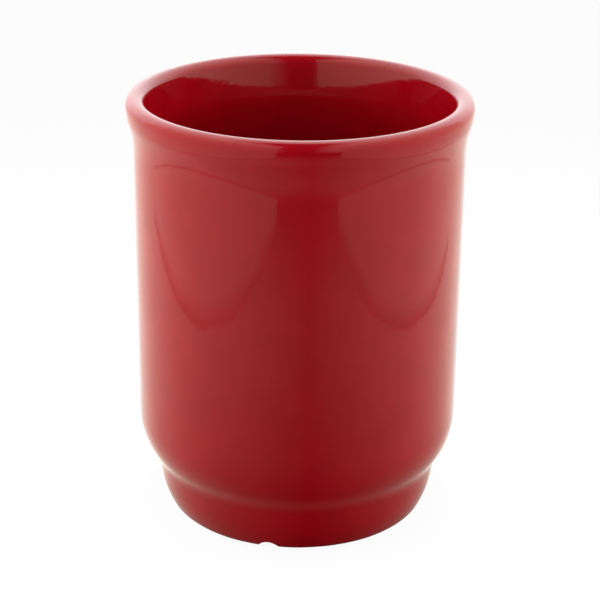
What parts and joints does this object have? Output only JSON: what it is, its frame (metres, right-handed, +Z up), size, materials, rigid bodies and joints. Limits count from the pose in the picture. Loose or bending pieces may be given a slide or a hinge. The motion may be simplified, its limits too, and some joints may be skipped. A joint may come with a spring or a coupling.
{
  "type": "stackable mug",
  "caption": "Handleless stacking mug in glossy red glazed ceramic, with a turned-out rounded lip, straight sides, a rounded shoulder and a stepped foot with drain notches",
  "frame": {"origin": "centre of the standing ring, on the plane that the mug stands on", "axes": "+Z up along the mug's axis of turning; the front, -Y, is the side with the first drain notch"},
  "size_m": [0.079, 0.079, 0.1],
  "materials": {
    "bare_ceramic": "unglazed fired clay, dry and matt, seen only on the ring that the mug stands on",
    "red_glaze": "opaque deep red glaze, high gloss with a faint orange-peel texture"
  },
  "bodies": {
    "root": {"ceramic_body": "bare_ceramic", "glaze_coat": "red_glaze", "base_glaze": "red_glaze"}
  },
  "joints": []
}
